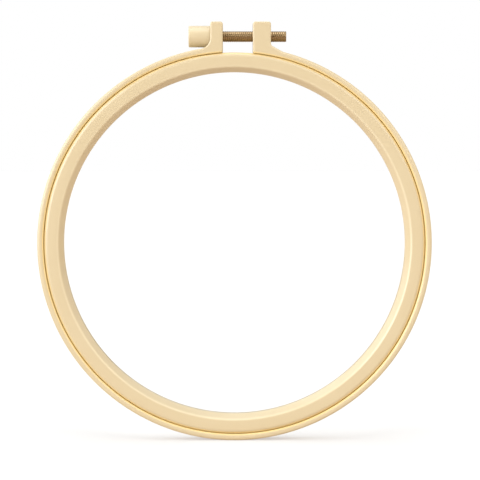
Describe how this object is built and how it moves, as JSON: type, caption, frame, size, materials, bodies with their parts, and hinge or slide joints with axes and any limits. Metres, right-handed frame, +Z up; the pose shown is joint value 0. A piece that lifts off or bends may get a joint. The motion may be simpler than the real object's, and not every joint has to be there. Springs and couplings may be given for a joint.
{
  "type": "embroidery hoop",
  "caption": "Round moulded plastic embroidery hoop: an inner ring held in a split outer ring, which a thumb screw between its two lugs opens and closes.",
  "frame": {"origin": "on the ground under the middle of the upright hoop", "axes": "+Z up from the ground to the lugs, +X along the clamp screw from its knob to its free end, +Y from the front of the hoop to its back, along the hoop's own axis"},
  "size_m": [0.1524, 0.011, 0.1617],
  "materials": {
    "outer_ring_plastic": "cream injection-moulded plastic, satin",
    "inner_ring_plastic": "cream injection-moulded plastic, satin",
    "knob_plastic": "cream injection-moulded plastic, smooth satin",
    "screw_brass": "antiqued dark brass, machine thread",
    "insert_brass": "plain turned brass"
  },
  "bodies": {
    "right_half": {"outer_ring_right": "outer_ring_plastic", "threaded_insert": "insert_brass"},
    "left_half": {"outer_ring_left": "outer_ring_plastic"},
    "screw_and_knob": {"clamp_screw": "screw_brass", "screw_knob": "knob_plastic"},
    "inner_hoop": {"inner_ring": "inner_ring_plastic"}
  },
  "joints": [
    {"name": "ring_flex", "type": "hinge", "parent": "right_half", "child": "left_half", "pos_m": [0, 0, 0.00128], "axis": [0, -1, 0], "range_deg": [0, 1.18], "stiffness_Nm_per_rad": 0.15},
    {"name": "knob_turn", "type": "hinge", "parent": "left_half", "child": "screw_and_knob", "pos_m": [-0.00965, 0, 0.15605], "axis": [-1, 0, 0], "range_deg": [0, 1441]},
    {"name": "inner_ring_slide", "type": "slide", "parent": "right_half", "child": "inner_hoop", "axis": [0, -1, 0], "range_m": [0, 0.03]}
  ],
  "couplings": [
    {"joint": "knob_turn", "follows": "ring_flex", "ratio": 1224.8}
  ]
}
